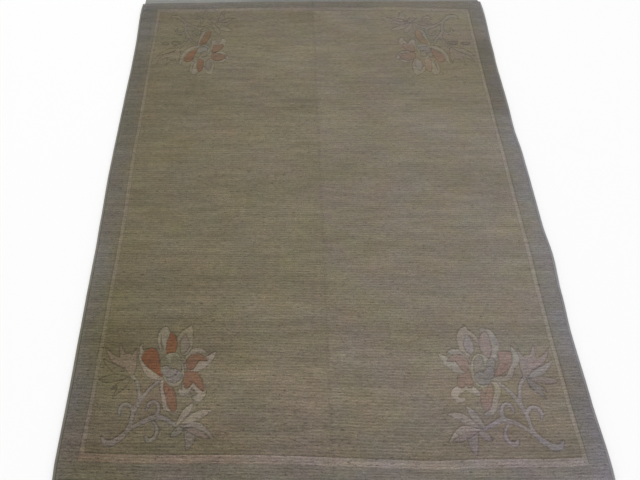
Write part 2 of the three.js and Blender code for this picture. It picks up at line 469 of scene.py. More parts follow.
# %% Wool pile material
def wool_pile():
    """Cut wool whose colour comes from the `dye` attribute and its pattern from `chart`."""
    material, shader = fresh_material("cut_wool_pile", roughness=0.95, sheen=0.12)
    tree = material.node_tree
    chart = stored(tree, "chart", "Vector")
    parts = node(tree, "ShaderNodeSeparateXYZ", {0: chart})
    lots = stretched_noise(tree, chart, (9, 55, 1), detail=3.0, roughness=0.6)
    streaks = stretched_noise(tree, chart, (62, 250, 1), detail=3.0, roughness=0.65)
    knots = stretched_noise(tree, chart, (280, 340, 1), detail=3.0, roughness=0.75)
    tufts = stretched_noise(tree, chart, (800, 1100, 400), detail=2.0, roughness=0.6)
    partings = stretched_noise(tree, chart, (85, 210, 1), detail=2.0, roughness=0.6)
    valley = ripple(tree, "COSINE", parts.outputs["Y"], ROW_PITCH)

    value = product(
        tree,
        spread(tree, lots, 0.85, 1.15),
        spread(tree, streaks, 0.78, 1.22),
        spread(tree, knots, 0.66, 1.32),
        spread(tree, tufts, 0.84, 1.16),
        # painted shade in the gaps where the pile parts
        ranged(tree, partings, 0.59, 0.74, 1.0, 0.45),
        # painted shade in the valleys between the rows, and a faint painted highlight on the crests
        ranged(tree, valley, 0.1, 1.0, 1.03, 0.86),
    )
    # the pattern and its painted shade are weaker on the right and stronger at the near end
    bleached = ranged(tree, parts.outputs["X"], -0.3, 0.4, 1.06, 0.84)
    near_contrast = ranged(tree, parts.outputs["Y"], -0.8, -0.4, 1.2, 1.0)
    contrast = product(tree, bleached, near_contrast)
    value = product(tree, math_node(tree, "SUBTRACT", value, 1.0), contrast)
    # painted shade in the carved grooves, from the groove attribute
    carved = ranged(tree, stored(tree, "groove", "Fac"), 0.0, 1.0, 1.0, 0.60)
    value = product(tree, math_node(tree, "ADD", value, 1.0), carved)
    lit = lit_by(tree, stored(tree, "dye", "Color"), value)

    ruddy = stretched_noise(tree, chart, (8, 8, 1), detail=6.0, roughness=0.7)
    bluish = stretched_noise(tree, chart, (6, 7, 3), detail=6.0, roughness=0.7)
    red = spread(tree, ruddy, 0.947, 1.053)
    green = spread(tree, ruddy, 1.02, 0.98)
    blue = spread(tree, bluish, 0.86, 1.14)
    cast = node(tree, "ShaderNodeCombineXYZ", {0: red, 1: green, 2: blue})
    tinted = node(tree, "ShaderNodeVectorMath", {0: lit, 1: cast.outputs[0]}, operation="MULTIPLY")

    hair = stretched_noise(tree, chart, (1300, 1300, 400), detail=2.0, roughness=0.7)
    relief = math_node(tree, "ADD", product(tree, knots, 1.6), hair)
    cover(tree, shader, tinted.outputs[0], relief, depth=0.45 * MM, strength=0.8)
    return material


WOOL = wool_pile()
print(WOOL.name, "has", len(WOOL.node_tree.nodes), "nodes")

# %% [markdown]
# ## Blocks of pile
# A block starts as one flat grid on the chart, with its lines just where they are wanted: close
# together at a groove's lips, far apart where nothing happens. Faces that belong to another
# block are cut away, the rim is extruded down to the ground cloth and the opening is filled, so
# each block is closed. Only then does the mesh leave the chart: the two bends and the height are
# worked out for all vertices at once, and the chart place, the dye and the groove are stored as
# attributes for the material. The groove says how much painted shade a carved line gets: a
# motif's lines get dark painted shade and the stripe's lines lighter painted shade. On the
# stripe's outer line the painted shade is darker and wider on the right and nearly gone at the
# far left.

# %% Block helpers
PILE_FOOT = GROUND_HEIGHT - 0.3 * MM     # the pile's foot sits a little into the ground cloth
NO_LIP = [0]
LIP = [0, 0.9 * MM, 1.9 * MM, 3.1 * MM]  # lines beside a groove
LEAST_GAP = 0.45 * MM                    # between a lip's last line and the next
# painted shade in the carved lines: a motif's, then the stripe's, whose outer right line gets more of it,
# spread wider
LINE_SHADE = 0.8                         # how dark a motif's lines look, and how much it changes
LINE_CHANGE = 0.35
STRIPE_SHADE = 0.15                      # how dark the stripe's lines look
RIGHT_LINE_SHADE = 1.8                         # its outer right line is darker and wider by these shares
RIGHT_SHADE_WIDTH = 0.6
LONG_SIDE = (500 * MM, 540 * MM)         # where the stripe's long sides begin, across the rug
FAR_PART = (-320 * MM, 80 * MM)          # and where the far part of the left side begins, along it


def lines(start, end, step, lip_start=NO_LIP, lip_end=NO_LIP):
    """Places of grid lines from start to end: whole steps, with the lips' lines at each end."""
    near = [start + offset for offset in lip_start]
    far = [end - offset for offset in lip_end]
    inside = np.arange(math.ceil(start / step), math.floor(end / step) + 1) * step
    clear = inside[(inside > near[-1] + LEAST_GAP) & (inside < far[-1] - LEAST_GAP)]
    return [*near, *clear.tolist(), *reversed(far)]


def mirrored(run):
    """The same grid lines on the other side of the middle."""
    return [-place for place in reversed(run)]


def joined(first, *others):
    """Runs of grid lines one after another, each starting where the one before it ends."""
    return [*first, *(place for run in others for place in run[1:])]


def chart_grid(columns, rows):
    """A flat bmesh grid whose lines lie at the given places on the chart."""
    bm = bmesh.new()
    steps_x, steps_y = len(columns) - 1, len(rows) - 1
    bmesh.ops.create_grid(bm, x_segments=steps_x, y_segments=steps_y, size=0.5)
    for vert in bm.verts:
        column = round((vert.co.x + 0.5) * steps_x)
        row = round((vert.co.y + 0.5) * steps_y)
        vert.co.x, vert.co.y = columns[column], rows[row]
    return bm


def keep_only(bm, wanted):
    """Cuts away the faces whose middle isn't wanted."""
    middles = np.array([face.calc_center_median().xy for face in bm.faces])
    kept = wanted(middles[:, 0], middles[:, 1])
    unwanted = [face for face, keep in zip(bm.faces, kept) if not keep]
    bmesh.ops.delete(bm, geom=unwanted, context="FACES")


def close_below(bm):
    """Extrudes the rim down and fills it. The low vertices are marked by a height of -1."""
    rim = [edge for edge in bm.edges if edge.is_boundary]
    skirt = bmesh.ops.extrude_edge_only(bm, edges=rim)["geom"]
    low = [part for part in skirt if isinstance(part, bmesh.types.BMVert)]
    for vert in low:
        vert.co.z = -1
    low_rim = [edge for edge in bm.edges if edge.is_boundary]
    bmesh.ops.triangle_fill(bm, edges=low_rim, use_beauty=False, normal=(0, 0, -1))
    bmesh.ops.recalc_face_normals(bm, faces=bm.faces)
    for face in bm.faces:
        face.smooth = True
    for edge in [*rim, *low_rim]:
        edge.smooth = False


def read_places(mesh):
    """The mesh's vertex places as an array."""
    places = np.empty(len(mesh.vertices) * 3, dtype=np.float32)
    mesh.vertices.foreach_get("co", places)
    return places.reshape(-1, 3).astype(float)


def write_places(mesh, *columns):
    """Moves the mesh's vertices to new x, y and z."""
    mesh.vertices.foreach_set("co", np.column_stack(columns).astype(np.float32).ravel())
    mesh.update()


def store(mesh, name, kind, field, values):
    """Keeps one value for each vertex in the mesh."""
    layer = mesh.attributes.new(name, kind, "POINT")
    layer.data.foreach_set(field, np.ascontiguousarray(values, dtype=np.float32).ravel())


def store_looks(mesh, chart, dye, groove=None):
    """Keeps what the materials read: each vertex's chart place, its dye and its groove's painted shade."""
    store(mesh, "chart", "FLOAT_VECTOR", "vector", np.column_stack(chart))
    store(mesh, "dye", "FLOAT_COLOR", "color", np.column_stack([dye, np.ones(len(dye))]))
    if groove is not None:
        store(mesh, "groove", "FLOAT", "value", groove)


def finish_piece(bm, name, material):
    """Turns a bmesh into an object on the rug's body."""
    mesh = bpy.data.meshes.new(name)
    bm.to_mesh(mesh)
    bm.free()
    piece = link(bpy.data.objects.new(name, mesh))
    mesh.materials.append(material)
    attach(piece, "root")
    return piece


def stripe_line(x, y):
    """How much painted shade the stripe's carved lines get."""
    from_inner, from_outer = guard_distances(x, y)
    right = ramp(x, *LONG_SIDE)
    far_left = ramp(-x, *LONG_SIDE) * ramp(y, *FAR_PART)
    outer_shade = STRIPE_SHADE * (1 + RIGHT_LINE_SHADE * right - far_left)
    outer = rounded(from_outer, GROOVE_REACH * (1 + RIGHT_SHADE_WIDTH * right), outer_shade)
    return np.maximum(rounded(from_inner, GROOVE_REACH, STRIPE_SHADE), outer)


def pile_block(name, columns, rows, paint, wanted=None, fit=None, line=1.0):
    """A closed block of pile. `paint` gives groove distances and dyes for places on the chart."""
    bm = chart_grid(columns, rows)
    if wanted:
        keep_only(bm, wanted)
    close_below(bm)
    piece = finish_piece(bm, name, WOOL)
    x, y, z = read_places(piece.data).T
    low = z < -0.5
    if fit:
        x, y = fit(x, y)
    groove_distance, dye = paint(x, y)
    carve = rounded(groove_distance, GROOVE_REACH, 1.0)
    height = np.where(low, PILE_FOOT, pile_top(x, y) - MOTIF_DEPTH * carve)
    write_places(piece.data, waved_across(x, y), bowed_along(x, y), height)
    # painted shade in the motif's carved lines, varied by noise, and in the stripe's, kept as the groove
    # attribute
    line_shade_strength = line * (LINE_SHADE + LINE_CHANGE * soft_noise(x, y, 0.035, 0.02, seed=41))
    store_looks(piece.data, (x, y, height), dye, np.maximum(carve * line_shade_strength, stripe_line(x, y)))
    piece.data.calc_loop_triangles()
    print(f"{name}: {len(piece.data.loop_triangles)} triangles")
    return piece


short_run = lines(0, 0.02, 2 * MM, LIP, LIP)
print("row lines of a short run:", [round(place * 1000, 1) for place in short_run])

# %% [markdown]
# ## Dye lots and painted light
# Home-dyed wool changes from batch to batch. The change shows as bands across the rug, called
# abrash, and because each half was knotted by its own weaver from its own basket, the bands of
# the two halves don't agree, and the right half's dye is a little paler and greyer. Painted light
# lies over the dyes: the left side grows darker and browner towards its edge and the right side
# lighter and greyer towards its edge, each by its own amount along the length, and the join has a
# thin line of painted shade along its valley. The tables list the main bands: the place along the
# length in millimetres, then left and right in per cent of the shade, or how strongly the painted
# light shows at each long edge. The tints say which way a part's colour goes, in red, green and
# blue light, and soft noise adds the small changes.

# %% Dye lots and painted light
DYE_LOTS = table("at left right", [
    (-845, -6, -6), (-790, -3, -4), (-740, 0, -1), (-700, 2, 0), (-640, 6, 1),
    (-600, -1, 3), (-520, -2, -3), (-445, 3, 1), (-370, -1, -1), (-300, 1, -1),
    (-250, 0, -4), (-200, 0, 0), (0, -1, -3), (150, 2, 0), (245, 2, 1),
    (330, -3, -1), (430, -1, -2), (600, 3, -1), (700, -1, -3), (845, -5, 0),
])
BORDER_LOTS = table("at left right", [
    (-900, 3, 2), (-750, 1, -3), (-640, 3, -2), (-525, 6, 2), (-375, 4, -1),
    (-200, 2, 1), (100, 0, -1), (270, -3, 0), (340, -3, -9), (520, -3, -9),
    (670, -1, -9), (740, 0, -2), (850, -7, -6), (900, -3, -5),
])
STRIPE_LOTS = table("at left right", [
    (-862, -2, -4), (-840, -3, -11), (-740, -3, -5), (-440, -3, -4), (-300, -4, -7),
    (0, -5, -7), (400, -5, -7), (600, -8, -9), (840, -8, -9), (856, -9, -13),
])
# how strongly the painted light shows at each long edge, along the length
EDGE_CHANGES = table("at left right", [
    (-920, 2.0, 0.9), (-720, 1.6, 0.5), (-570, 2.2, 1.0), (-430, 1.7, 1.0),
    (-250, 1.1, 1.1), (0, 1.1, 1.0), (220, 1.4, 1.0), (360, 1.3, 0.1),
    (620, 1.1, -0.6), (760, 0.9, 0.5), (930, 0.2, 0.8),
])
# left_edge and right_edge are painted light; right_half is the right half's own dye
TINTS = {
    "left_edge": (-0.15, -0.155, -0.24),
    "right_edge": (0.10, 0.125, 0.26),
    "right_half": (0.056, 0.06, 0.109),
    "near_end": (-0.005, -0.03, 0.03),
    "border_rim": (0.02, 0.05, 0.22),
    "border_right": (0.0, -0.01, -0.11),
    "border_near": (0.0, 0.01, 0.03),
    "border_far_left": (-0.01, 0.03, 0.11),
    "border_low_left": (0.03, 0.02, 0.17),
    # painted light beside the stripe at the far left of the border
    "border_bleached": (0.11, 0.10, 0.08),
    "stripe_near_left": (-0.03, -0.085, -0.08),
    "stripe_right": (0.0, 0.0, -0.09),
}
SHADE_POWER = 2.2        # per cent are of the shade that is seen, and light goes by this power
PATCHES = 2.4            # per cent that patches, smaller spots and rows change a dye by
SPOTS = 1.5
ROW_LOTS = 1.6
# the join's thin dark line is painted shade along its valley
JOIN_SHADE = 4.0         # per cent that the join is darker, how much it changes, and its half width
JOIN_CHANGE = 3.0
JOIN_LINE = 4 * MM
PAST_STRIPE = 1.08       # the most that an edge's change grows to, where it is 1 at the stripe
# Where each change of colour starts and where it is full, in metres from the middle
LEFT_EDGE_START = 60 * MM
RIGHT_EDGE_START = 20 * MM
SIDE = (0, 0.3)
NEAR_END = (0.3, 0.8)
BORDER_NEAR = (0.2 * GUARD_END_OUTER, 1.2 * GUARD_END_OUTER)
BORDER_FAR = (0.49, 0.84)
BORDER_LOW = (0.18, 0.33)
BORDER_LOW_END = (-0.84, -0.64)


def tints(**shares):
    """The sum of some tints, each with its own share at every place."""
    return sum(np.outer(share, TINTS[name]) for name, share in shares.items())


def row_noise(y, along, seed):
    """Noise that changes only along the rug, from row to row."""
    return soft_noise(np.zeros(len(y)), y, 1, along, seed)


def by_half(x, left, right):
    """The left half's value left of the join, and the right half's right of it."""
    half = ramp(x, JOIN_OFFSET - 1.5 * MM, JOIN_OFFSET + 1.5 * MM)
    return left * (1 - half) + right * half


def toward_stripe(reach, start, full):
    """Zero up to the start, then a straight rise to 1 at the stripe and a little past it."""
    return np.clip((reach - start) / (full - start), 0, PAST_STRIPE)


def dye_and_painted_light(x, y, lots=0.0):
    """A dye's change at a place, in red, green and blue, painted light and painted shade included."""
    patch = PATCHES * soft_noise(x, y, 0.13, 0.07, seed=25) + SPOTS * soft_noise(x, y, 0.05, 0.03, seed=26)
    dashes = JOIN_SHADE + JOIN_CHANGE * row_noise(y, 0.012, seed=27)
    # painted shade along the join's valley
    join_valley_shade = dashes * np.clip(1 - np.abs(x - JOIN_OFFSET) / JOIN_LINE, 0, 1)
    left = toward_stripe(-x, LEFT_EDGE_START, GUARD_LEFT_INNER)
    right = toward_stripe(x, RIGHT_EDGE_START, GUARD_RIGHT_INNER)
    # left_edge and right_edge are painted light towards the long edges
    change = tints(
        left_edge=left * between(EDGE_CHANGES, y, "left"),
        right_half=by_half(x, 0, 1),
        right_edge=right * between(EDGE_CHANGES, y, "right"),
        near_end=ramp(-y, *NEAR_END),
    )
    return (1 + change) * (1 + (lots + patch - join_valley_shade)[:, None] / 100) ** SHADE_POWER


def abrash(x, y):
    """The dye changes and painted light, with the field's own dye lots."""
    left = between(DYE_LOTS, y, "left") + ROW_LOTS * row_noise(y, 0.022, seed=21)
    right = between(DYE_LOTS, y, "right") + ROW_LOTS * row_noise(y, 0.022, seed=23)
    return dye_and_painted_light(x, y, by_half(x, left, right))


def border_run(x, y):
    """The border's dyes: own lots, a greyer rim, a warmer right and painted light at the far left."""
    rim = ramp(np.abs(x), GUARD_LEFT_INNER, PILE_HALF_WIDTH)
    near, left = ramp(-y, *BORDER_NEAR), ramp(-x, *SIDE)
    from_stripe = np.abs(x) - GUARD_LEFT_INNER - GUARD_SIDE_WIDTH
    beside_stripe = np.clip(1.3 - from_stripe / (9 * MM), 0, 1) * (np.abs(y) < GUARD_END_INNER)
    tint = 1 + tints(
        border_rim=rim - 0.5,
        border_right=ramp(x, 0, GUARD_RIGHT_INNER) * (1 - 0.6 * near),
        border_near=near,
        border_far_left=ramp(y, *BORDER_FAR) * left,
        border_low_left=ramp(-y, *BORDER_LOW) * ramp(y, *BORDER_LOW_END) * left * rim,
        # painted light: the border is lighter beside the stripe's outer groove at the far left
        border_bleached=beside_stripe * ramp(y, *FAR_PART) * left,
    )
    return dye_and_painted_light(x, y, by_sign(x, BORDER_LOTS, y, "left", "right")) * tint


def stripe_run(x, y):
    """The stripe's dyes and painted light: its long sides and far end are from duller lots."""
    left, right = between(STRIPE_LOTS, y, "left"), between(STRIPE_LOTS, y, "right")
    return dye_and_painted_light(x, y, by_half(x, left, right)) + tints(
        stripe_near_left=ramp(-x, *SIDE) * (y < -GUARD_END_INNER),
        stripe_right=ramp(x, *SIDE) * (y > -GUARD_END_INNER),
    )


def plain(yarn, dye_run):
    """Paint for a block of one yarn with no motif."""
    def paint(x, y):
        return np.ones(len(x)), YARN[yarn] * dye_run(x, y)
    return paint


sample = abrash(np.array([-0.3, 0.3]), np.array([0.0, 0.0]))
print("dye factors left and right of the join:", np.round(sample, 3).tolist())

# %% [markdown]
# ## The lotus spray
# Each corner holds the same spray: an open lotus with a seed head, a closed bud, a leafy
# side shoot and a stem with curled tendrils. A weaver keeps such a motif on squared paper. Here it
# is a set of brush strokes: a stroke follows a few points and is thick or thin at each of them,
# so a handful of points gives a leaf, a petal or a tendril. A shape is one yarn and one or
# more strokes that run together, and each shape lies over the ones listed before it.
# A stroke's points are: across from the stripe towards the middle, along from the stripe
# towards the middle, and half the stroke's width, all in millimetres. A shape's second yarn is
# what its first one looks like once it has faded, and a far flower may be tinted as well.


# %% Stem and leaves
def drawn(shape, yarn, faded, strokes, far_tint=(1, 1, 1)):
    """One shape of the motif, with its yarn, what that fades to and its brush strokes."""
    return {"shape": shape, "yarn": yarn, "faded": faded, "strokes": strokes, "far_tint": far_tint}


STEM_AND_LEAVES = [
    drawn("stem", "grey_lilac", "grey_lilac", [
        [(150, 190, 4), (131, 170, 4.5), (118, 150, 5), (107, 133, 6), (99, 112, 5.5), (95, 92, 5),
         (93, 72, 5), (86, 55, 6), (72, 38, 7.5), (56, 26, 9), (42, 27, 7.5), (31, 40, 1.5)],
        [(106, 132, 6), (103, 150, 4.5), (97, 174, 4.5), (86, 192, 4.5), (74, 204, 5)],
        [(86, 52, 4.5), (101, 66, 5), (118, 79, 6), (138, 89, 7.5), (154, 92, 7.5), (170, 87, 5.5),
         (184, 78, 5), (198, 72, 6), (214, 69, 6)],
        [(148, 92, 6), (152, 108, 5), (149, 123, 4.5), (138, 131, 4.5), (127, 124, 4.5), (124, 110, 2)],
        [(97, 98, 4), (92, 112, 4.5), (80, 123, 5), (67, 119, 5), (61, 105, 4), (65, 92, 1.5)],
        [(143, 80, 3), (153, 66, 3.5), (156, 51, 4.5), (150, 37, 5.5), (138, 33, 6), (131, 42, 3.5)],
    ]),
    drawn("shoot drop", "ash", "ash", [[(222, 62, 7), (230, 44, 12), (230, 26, 9), (226, 8, 1)]]),
    drawn("shoot stub", "ash", "ash", [[(208, 66, 6), (202, 55, 10), (192, 46, 6), (184, 44, 1)]]),
    drawn("shoot under", "mauve", "mauve", [[(222, 62, 5), (246, 53, 9), (262, 44, 6), (274, 40, 1)]]),
    drawn("shoot long", "grey_lilac", "cream", [
        [(212, 68, 5), (241, 71, 9), (264, 59, 6.5), (284, 38, 1)],
    ]),
    drawn("shoot side", "cream", "worn_cream", [
        [(214, 76, 5), (235, 91, 11), (255, 102, 9.5), (273, 108, 3)],
    ]),
    drawn("shoot up", "cream", "worn_cream", [
        [(200, 74, 4), (211, 93, 8.5), (220, 110, 8.5), (228, 122, 4)],
    ]),
    drawn("bud leaf low", "olive", "grey_brown", [
        [(70, 188, 7), (60, 170, 10), (52, 156, 5), (43, 142, 1)],
        [(62, 178, 6), (50, 172, 5), (38, 160, 1)],
    ]),
    drawn("bud leaf middle", "olive", "mauve", [[(60, 194, 6), (34, 190, 10), (16, 186, 7), (8, 186, 3)]]),
    drawn("bud leaf long", "olive", "grey_lilac", [
        [(72, 202, 5), (44, 212, 10), (18, 228, 6), (5, 240, 1)],
    ]),
    drawn("bud", "sand", "mauve", [
        [(77, 206, 7), (73, 222, 13), (70, 236, 16), (63, 244, 15)],
        [(75, 236, 12), (80, 256, 6), (82, 275, 1)],
        [(56, 240, 11), (48, 262, 6), (41, 286, 1)],
        [(56, 232, 12), (32, 242, 9), (17, 256, 5), (7, 274, 1)],
    ]),
]
print(len(STEM_AND_LEAVES), "shapes below the flower")

# %% Petals and seed head
PETALS = [
    drawn("low edge", "cream", "worn_cream", [
        [(153, 190, 5), (155, 172, 6.5), (159, 152, 7.5), (164, 132, 8), (169, 117, 8)],
        [(167, 122, 8), (180, 109, 7), (192, 104, 4)],
    ]),
    drawn("low petal", "dusty_terracotta", "pale_terracotta", [
        [(166, 190, 4), (166, 176, 10), (171, 160, 11), (178, 144, 11.5), (182, 128, 11), (185, 115, 8),
         (187, 107, 3)],
    ], far_tint=(1.1, 1.07, 0.86)),
    drawn("inner low frill", "cream", "cream", [
        [(224, 190, 13), (240, 168, 13), (248, 152, 11), (241, 139, 9), (231, 142, 5)],
        [(214, 178, 14), (212, 162, 10), (203, 153, 8), (197, 161, 4)],
    ]),
    drawn("inner low petal", "dusty_terracotta", "pale_terracotta", [
        [(218, 212, 9), (218, 198, 15), (214, 182, 11), (213, 172, 6)],
        [(226, 204, 10), (237, 184, 10), (246, 168, 6), (251, 159, 2)],
    ]),
    drawn("inner high edge", "cream", "worn_cream", [
        [(212, 228, 10), (232, 225, 15), (250, 237, 13), (265, 253, 8), (276, 267, 1.5)],
        [(212, 252, 10), (224, 265, 12), (240, 269, 7), (252, 264, 2)],
    ]),
    drawn("inner high petal", "dusty_terracotta", "pale_terracotta", [
        [(218, 227, 11), (221, 242, 14), (230, 252, 11), (243, 249, 7), (255, 244, 2)],
    ]),
    drawn("top inner edge", "buff", "buff", [
        [(200, 264, 8), (202, 284, 16), (204, 304, 15), (206, 322, 11), (209, 337, 3)],
        [(204, 326, 8), (192, 318, 7), (182, 304, 6), (176, 290, 3)],
    ]),
    drawn("top inner heart", "mauve", "pale_lilac", [
        [(196, 268, 7), (198, 284, 12.5), (197, 300, 9), (198, 315, 2)],
    ]),
    drawn("top outer edge", "cream", "worn_cream", [
        [(162, 262, 8), (158, 290, 16), (152, 312, 13), (144, 328, 7)],
        [(148, 328, 8), (137, 318, 5.5), (135, 292, 4.5), (141, 268, 2)],
    ]),
    drawn("top outer petal", "terracotta", "faded_rose", [
        [(164, 258, 8), (166, 274, 12), (167, 292, 12), (167, 306, 9), (165, 316, 4)],
    ]),
    drawn("outer edge", "cream", "worn_cream", [
        [(158, 194, 5), (144, 194, 7), (128, 199, 9), (116, 210, 9), (106, 224, 8), (100, 239, 7.5),
         (97, 254, 7), (95, 267, 5.5), (92, 278, 4), (95, 288, 1)],
    ]),
    drawn("outer petal", "terracotta", "pale_terracotta", [
        [(117, 262, 13), (118, 252, 20), (123, 238, 18), (131, 226, 13), (141, 214, 8.5),
         (151, 204, 7.5), (160, 198, 3)],
    ]),
    drawn("seed head", "sage", "sage", [[(182, 186, 18), (176, 212, 28), (171, 238, 23), (176, 250, 14)]]),
    drawn("inner seed leaf", "olive", "moss", [
        [(176, 216, 9), (182, 234, 12), (178, 248, 8)],
        [(190, 226, 6), (192, 214, 5)],
    ]),
    drawn("outer seed leaf", "olive", "moss", [[(160, 220, 7), (153, 234, 10), (150, 246, 5)]]),
    drawn("low scroll", "slate", "slate", [[(172, 190, 9), (184, 188, 9), (192, 198, 8), (190, 208, 5)]]),
    drawn("high scroll", "slate", "slate", [
        [(158, 220, 8), (162, 208, 12), (174, 206, 11), (182, 212, 6)],
    ]),
]
MOTIF = [*STEM_AND_LEAVES, *PETALS]
print(len(MOTIF), "shapes,", sum(len(shape["strokes"]) for shape in MOTIF), "strokes")

# %% [markdown]
# All four flowers were knotted from the same paper, but no weaver repeats a flower exactly: in the
# near right one some petals came out wider and squarer, in the far ones shorter and rounder. Those
# shapes are drawn again here, and the rest of the spray is shared.

# %% Shapes that came out differently
NEAR_RIGHT_DRAWING = {
    "low edge": [
        [(156, 190, 5), (150, 178, 6.5), (150, 164, 7), (155, 150, 7.5), (164, 138, 8), (168, 124, 8.5),
         (177, 111, 8), (189, 107, 5)],
    ],
    "low petal": [
        [(167, 188, 5), (171, 174, 11), (176, 160, 14), (180, 146, 13.5), (183, 130, 11), (186, 118, 4)],
    ],
    "inner low frill": [
        [(231, 172, 9), (246, 164, 11), (252, 152, 9), (245, 141, 7), (233, 142, 5)],
        [(218, 172, 10), (208, 166, 10), (200, 158, 8)],
    ],
    "inner low petal": [
        [(214, 214, 10), (220, 204, 14), (227, 192, 13), (233, 181, 9)],
        [(217, 198, 12), (214, 186, 9), (213, 176, 5)],
    ],
    "top inner edge": [
        [(204, 262, 8), (211, 284, 13), (210, 306, 15), (205, 323, 12), (198, 337, 4)],
        [(202, 329, 8), (189, 319, 7), (178, 305, 6), (174, 290, 3)],
    ],
    "top outer edge": [
        [(143, 254, 7), (136, 272, 9), (134, 295, 10), (139, 314, 10), (149, 326, 8), (160, 330, 4)],
    ],
    "top outer petal": [[(160, 256, 8), (159, 274, 13), (158, 292, 14), (155, 308, 11), (152, 320, 4)]],
    "outer edge": [
        [(158, 195, 5), (140, 195, 7), (122, 197, 7), (111, 208, 7), (104, 224, 7), (94, 240, 8.5),
         (91, 256, 8), (94, 270, 5), (97, 281, 1.5)],
    ],
    "outer petal": [
        [(117, 252, 16), (119, 238, 15), (126, 225, 12), (138, 213, 8.5), (150, 206, 6), (159, 202, 3)],
        [(126, 260, 8), (108, 260, 8)],
    ],
    "seed head": [[(184, 188, 17), (180, 212, 26), (176, 238, 22), (178, 250, 13)]],
}
FAR_DRAWING = {
    "inner low frill": [
        [(228, 192, 12), (240, 178, 13), (245, 163, 10), (240, 155, 7)],
        [(214, 186, 12), (209, 173, 11), (205, 162, 7)],
    ],
    "inner low petal": [
        [(210, 216, 8), (219, 206, 13), (229, 196, 13), (237, 188, 8)],
        [(216, 202, 11), (214, 192, 8), (213, 186, 4)],
    ],
    "inner high edge": [
        [(216, 232, 8), (238, 228, 11), (253, 238, 9), (263, 250, 6), (268, 260, 2)],
        [(214, 256, 9), (228, 266, 10), (244, 267, 8), (256, 262, 5)],
    ],
    "inner high petal": [[(214, 238, 11), (221, 246, 18), (233, 248, 18), (246, 245, 11), (256, 241, 5)]],
    "bud leaf low": [[(80, 171, 6), (70, 174, 10), (61, 172, 9), (54, 167, 3)]],
    "bud leaf middle": [[(37, 175, 4), (29, 176, 7), (19, 173, 6), (12, 169, 2)]],
    "outer petal": [
        [(119, 260, 11), (121, 250, 17), (126, 237, 15.5), (133, 225, 11.5), (141, 214, 7.5), (149, 205, 3)],
    ],
    "seed head": [[(178, 190, 15), (172, 212, 24), (168, 234, 20), (172, 245, 12)]],
    "inner seed leaf": [[(171, 218, 9), (176, 231, 11), (173, 242, 7)]],
    "low scroll": [[(168, 192, 9), (178, 190, 8), (185, 199, 7), (183, 208, 5)]],
}
print(len(NEAR_RIGHT_DRAWING) + len(FAR_DRAWING), "shapes drawn again")

# %% [markdown]
# ## Measuring to a brush stroke
# A smooth curve is run through a stroke's points and cut into short straight runs. The distance
# from a place to the stroke's outline is the least, over those runs, of the distance to the
# run less the half width there: negative inside the stroke. Over the whole motif, a place then
# knows two things: how far the nearest carved line is, and which shape lies on top.

# %% Distances in the motif
RUN_LENGTH = 4 * MM
LEAST_HALF_WIDTH = 0.7 * MM
FAR_AWAY = 1.0


def smooth_spine(points):
    """A smooth run of (across, along, half width) through a stroke's points."""
    knots = np.array(points, dtype=float) * MM
    ends = [2 * knots[0] - knots[1], *knots, 2 * knots[-1] - knots[-2]]
    runs = []
    for before, start, end, after in zip(ends, ends[1:], ends[2:], ends[3:]):
        count = max(2, math.ceil(np.linalg.norm(end - start) / RUN_LENGTH))
        t = np.arange(count)[:, None] / count
        linear = end - before
        square = 2 * before - 5 * start + 4 * end - after
        cube = 3 * start - before - 3 * end + after
        runs.append(0.5 * (2 * start + linear * t + square * t**2 + cube * t**3))
    spine = np.vstack([*runs, knots[-1:]])
    spine[:, 2] = np.clip(spine[:, 2], LEAST_HALF_WIDTH, None)
    return spine


def stroke_distance(x, y, spine):
    """Signed distance from the outline of one stroke."""
    nearest = np.full(len(x), FAR_AWAY)
    for start, end in zip(spine, spine[1:]):
        run = end - start
        from_x, from_y = x - start[0], y - start[1]
        share = (from_x * run[0] + from_y * run[1]) / (run[0] ** 2 + run[1] ** 2)
        share = np.clip(share, 0, 1)
        gap = np.hypot(from_x - share * run[0], from_y - share * run[1])
        nearest = np.minimum(nearest, gap - start[2] - run[2] * share)
    return nearest


def spines_of(redrawn):
    """The spines of every shape's strokes, taken from the redrawn shapes where there is one."""
    drawings = [redrawn.get(shape["shape"], shape["strokes"]) for shape in MOTIF]
    return [[smooth_spine(points) for points in strokes] for strokes in drawings]


SPINES = {
    "first": spines_of({}),
    "near right": spines_of(NEAR_RIGHT_DRAWING),
    "far": spines_of(FAR_DRAWING),
}


def motif_at(across, along, drawing):
    """Distance from the nearest carved line, and the number of the top shape (-1 for the field)."""
    outline = np.full(len(across), FAR_AWAY)
    owner = np.full(len(across), -1)
    for number, spines in enumerate(drawing):
        gap = np.full(len(across), FAR_AWAY)
        for spine in spines:
            reach = spine[:, 2].max() + 2 * GROOVE_REACH
            low, high = spine[:, :2].min(0) - reach, spine[:, :2].max(0) + reach
            near = (across > low[0]) & (across < high[0]) & (along > low[1]) & (along < high[1])
            gap[near] = np.minimum(gap[near], stroke_distance(across[near], along[near], spine))
        inside = gap < 0
        outline = np.where(inside, -gap, np.minimum(outline, gap))
        owner[inside] = number
    return outline, owner


test_owner = motif_at(np.array([0.176]), np.array([0.2]), SPINES["first"])[1]
print("in the middle of the flower:", MOTIF[test_owner[0]]["shape"])
